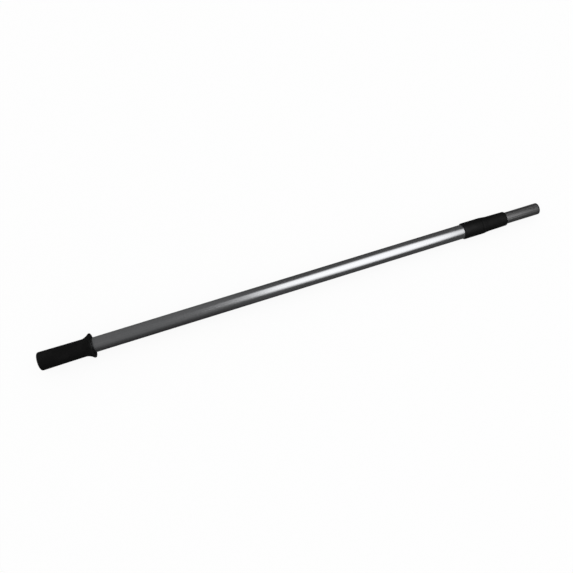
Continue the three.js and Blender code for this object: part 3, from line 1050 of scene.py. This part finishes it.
class POLE_OT_tip_plug(bpy.types.Operator):
    """Build the plug that closes the inner tube's free end"""

    bl_idname = "pole.tip_plug"
    bl_label = "Tip Plug"

    def execute(self, context):
        start, end, radius = span("tip_plug")
        spigot = INNER_BORE - FIXED_GAP
        head = span("inner_tube")[1] + RUNNING_GAP
        hollow, hollow_round = 0.007, 0.001
        hollow_end = head - 0.002
        tip_round = 0.0018
        outline = [
            (hollow_end, 0),
            (hollow_end, hollow, hollow_round),
            (start, hollow, EDGE),
            *lead_in(start, spigot),
            (head, spigot),
            (head, radius, FINE_EDGE),
            (end, radius, tip_round),
            (end, 0),
        ]
        piece = mesh_object("tip_plug_moulded", turned(outline))
        finished(piece, "inner_section", "tip_plug", tip_plastic())
        return {"FINISHED"}


# ---- Operator: the stage ----


class POLE_OT_stage(bpy.types.Operator):
    """Set up the floor, the softbox, the white dome and the camera"""

    bl_idname = "pole.stage"
    bl_label = "Stage"

    def execute(self, context):
        stage = context.scene.pole_stage
        facing = Vector(
            (
                math.sin(stage.turn) * math.cos(stage.elevation),
                math.cos(stage.turn) * math.cos(stage.elevation),
                -math.sin(stage.elevation),
            )
        )
        self.build_camera(context, stage, facing)
        self.build_floor(stage)
        self.build_softbox(stage, facing)
        self.build_dome(context, stage)
        context.scene.view_settings.view_transform = "Standard"
        return {"FINISHED"}

    def build_camera(self, context, stage, facing):
        """A camera that looks at a point just in front of the pole, a little left of its middle."""
        aim = ON_AXIS + Vector((-0.0298, -0.0015, -0.0008))
        camera = bpy.data.objects.new("camera", bpy.data.cameras.new("camera"))
        camera.data.lens = stage.lens
        camera.data.sensor_width = 36
        camera.location = aim - facing * stage.distance
        camera.rotation_euler = facing.to_track_quat("-Z", "Y").to_euler()
        context.scene.collection.objects.link(camera)
        context.scene.camera = camera

    def build_floor(self, stage):
        """The floor touches the guard's rim, and the tip when the pole is fully out."""
        slide = next(j for j in frame["joints"] if j["name"] == "pole_slide")
        guard_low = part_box("hand_grip")[0].z
        guard_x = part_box("hand_grip")[1].x
        tip_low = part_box("tip_plug")[0].z
        tip_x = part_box("tip_plug")[1].x + slide["range_m"][1]
        slope = math.atan2(tip_low - guard_low, tip_x - guard_x)
        half_size = 30
        clearance = 0.0001
        bm = bmesh.new()
        bmesh.ops.create_grid(bm, x_segments=1, y_segments=1, size=half_size)
        bmesh.ops.rotate(bm, verts=bm.verts[:], matrix=Matrix.Rotation(-slope, 3, "Y"))
        bmesh.ops.translate(bm, verts=bm.verts[:], vec=(guard_x, 0, guard_low - clearance))
        floor = mesh_object("floor", bm)
        floor.visible_glossy = False
        floor.visible_diffuse = False
        material, _, shader = plain_material("floor", stage.floor_colour, 0.9, specular=0.1)
        shader.inputs["Emission Color"].default_value = (1, 1, 1, 1)
        shader.inputs["Emission Strength"].default_value = stage.floor_glow
        floor.data.materials.append(material)

    def build_softbox(self, stage, facing):
        """A large soft panel over the pole. Only gloss sees it: the dome lights everything else."""
        height = 0.8
        half_length, half_width = 0.8, 2.1
        shift = 0.4
        towards = Vector((0, -facing.y, -facing.z)).normalized()
        bm = bmesh.new()
        bmesh.ops.create_grid(bm, x_segments=1, y_segments=1, size=1)
        bmesh.ops.scale(bm, verts=bm.verts[:], vec=(half_length, half_width, 1))
        bmesh.ops.translate(bm, verts=bm.verts[:], vec=(shift, 0, 0))
        panel = mesh_object("softbox", bm)
        panel.rotation_euler.x = math.atan2(facing.y, -facing.z)
        panel.location = ON_AXIS + towards * height
        for ray in ("camera", "diffuse", "shadow", "transmission", "volume_scatter"):
            setattr(panel, "visible_" + ray, False)
        panel.data.materials.append(self.softbox_glow(stage))

    def softbox_glow(self, stage):
        """Brightest over the pole's right half. It narrows and fades to the left."""
        material = bpy.data.materials.new("softbox")
        material.use_nodes = True
        tree = material.node_tree
        tree.nodes.clear()
        place = tree.nodes.new("ShaderNodeTexCoord")
        parts = tree.nodes.new("ShaderNodeSeparateXYZ")
        tree.links.new(place.outputs["Object"], parts.inputs["Vector"])
        # Both are in metres on the panel, from the point over the pole's middle.
        along, across = parts.outputs["X"], parts.outputs["Y"]
        left = calculated(tree, "POWER", ranged(tree, along, -0.30, 0.04, 0, 1, "LINEAR"), 3.0)
        right = ranged(tree, along, 0.74, 1.02, 1, 0)
        centre = ranged(tree, along, -0.20, 0.46, 0.21, 0.0, "LINEAR")
        width = ranged(tree, along, -0.20, 0.51, 0.46, 0.98, "LINEAR")
        offset = calculated(tree, "ABSOLUTE", calculated(tree, "SUBTRACT", across, centre))
        sides = ranged(tree, calculated(tree, "DIVIDE", offset, width), 0.32, 1.45, 1, 0)
        mask = calculated(tree, "MULTIPLY", calculated(tree, "MULTIPLY", left, right), sides)
        strength = calculated(tree, "MULTIPLY", mask, stage.softbox)
        glow = tree.nodes.new("ShaderNodeEmission")
        tree.links.new(strength, glow.inputs["Strength"])
        out = tree.nodes.new("ShaderNodeOutputMaterial")
        see_through = tree.nodes.new("ShaderNodeBsdfTransparent")
        both = tree.nodes.new("ShaderNodeAddShader")
        tree.links.new(glow.outputs["Emission"], both.inputs[0])
        tree.links.new(see_through.outputs["BSDF"], both.inputs[1])
        tree.links.new(both.outputs["Shader"], out.inputs["Surface"])
        return material

    def build_dome(self, context, stage):
        """White all round to the camera, softer below for the matt parts, and dark grey to gloss."""
        world = bpy.data.worlds.new("dome")
        context.scene.world = world
        world.use_nodes = True
        tree = world.node_tree
        tree.nodes.clear()
        place = tree.nodes.new("ShaderNodeTexCoord")
        parts = tree.nodes.new("ShaderNodeSeparateXYZ")
        tree.links.new(place.outputs["Generated"], parts.inputs["Vector"])
        below, above = 0.4 * stage.dome, stage.dome
        matt = ranged(tree, parts.outputs["Z"], -1, 1, below, above)
        # Gloss sees an even grey to the right, and to the left one that is lighter at the upper back.
        tilt = math.radians(60)
        up = tree.nodes.new("ShaderNodeVectorMath")
        up.operation = "DOT_PRODUCT"
        up.inputs[1].default_value = (0, math.cos(tilt), math.sin(tilt))
        tree.links.new(place.outputs["Generated"], up.inputs[0])
        left_dark, left_light, right_grey = 0.032, 0.104, 0.056
        left = ranged(tree, up.outputs["Value"], -0.9, 0.25, left_dark, left_light)
        gloss = tree.nodes.new("ShaderNodeMix")
        gloss.inputs["B"].default_value = right_grey
        tree.links.new(left, gloss.inputs["A"])
        tree.links.new(ranged(tree, parts.outputs["X"], -0.01, 0.07, 0, 1), gloss.inputs["Factor"])
        rays = tree.nodes.new("ShaderNodeLightPath")
        strength = tree.nodes.new("ShaderNodeMix")
        tree.links.new(rays.outputs["Is Glossy Ray"], strength.inputs["Factor"])
        tree.links.new(matt, strength.inputs["A"])
        tree.links.new(gloss.outputs["Result"], strength.inputs["B"])
        backdrop = 0.985
        seen = tree.nodes.new("ShaderNodeMix")
        seen.inputs["B"].default_value = backdrop
        tree.links.new(rays.outputs["Is Camera Ray"], seen.inputs["Factor"])
        tree.links.new(strength.outputs["Result"], seen.inputs["A"])
        white = tree.nodes.new("ShaderNodeBackground")
        white.inputs["Color"].default_value = (1, 1, 1, 1)
        tree.links.new(seen.outputs["Result"], white.inputs["Strength"])
        out = tree.nodes.new("ShaderNodeOutputWorld")
        tree.links.new(white.outputs["Background"], out.inputs["Surface"])


# ---- Panel and registration ----

OPERATORS = (
    POLE_OT_stage,
    POLE_OT_hand_grip,
    POLE_OT_outer_tube,
    POLE_OT_tube_end,
    POLE_OT_mouth_bush,
    POLE_OT_lock_sleeve,
    POLE_OT_sleeve_rivets,
    POLE_OT_nut_retainer,
    POLE_OT_collet,
    POLE_OT_lock_nut,
    POLE_OT_wiper_ring,
    POLE_OT_inner_tube,
    POLE_OT_glide_plug,
    POLE_OT_glide_rings,
    POLE_OT_stop_collar,
    POLE_OT_tip_plug,
)


class POLE_PT_sidebar(bpy.types.Panel):
    """Lists the pole's settings and builders"""

    bl_idname = "POLE_PT_sidebar"
    bl_label = "Roller Extension Pole"
    bl_space_type = "VIEW_3D"
    bl_region_type = "UI"
    bl_category = "Pole"

    def draw(self, context):
        scene = context.scene
        for name in SETTINGS:
            box = self.layout.box()
            for key in getattr(scene, name).__annotations__:
                box.prop(getattr(scene, name), key)
        for operator in OPERATORS:
            self.layout.operator(operator.bl_idname)


SETTINGS = {
    "pole_grip": GripSettings,
    "pole_tubes": TubeSettings,
    "pole_collar": CollarSettings,
    "pole_stage": StageSettings,
}


def register():
    for cls in (*SETTINGS.values(), *OPERATORS, POLE_PT_sidebar):
        bpy.utils.register_class(cls)
    for name, cls in SETTINGS.items():
        setattr(bpy.types.Scene, name, bpy.props.PointerProperty(type=cls))


def unregister():
    for name in SETTINGS:
        delattr(bpy.types.Scene, name)
    for cls in (POLE_PT_sidebar, *reversed(OPERATORS), *SETTINGS.values()):
        bpy.utils.unregister_class(cls)


def main():
    register()
    for operator in OPERATORS:
        group, name = operator.bl_idname.split(".")
        getattr(getattr(bpy.ops, group), name)()


if __name__ == "__main__":
    main()
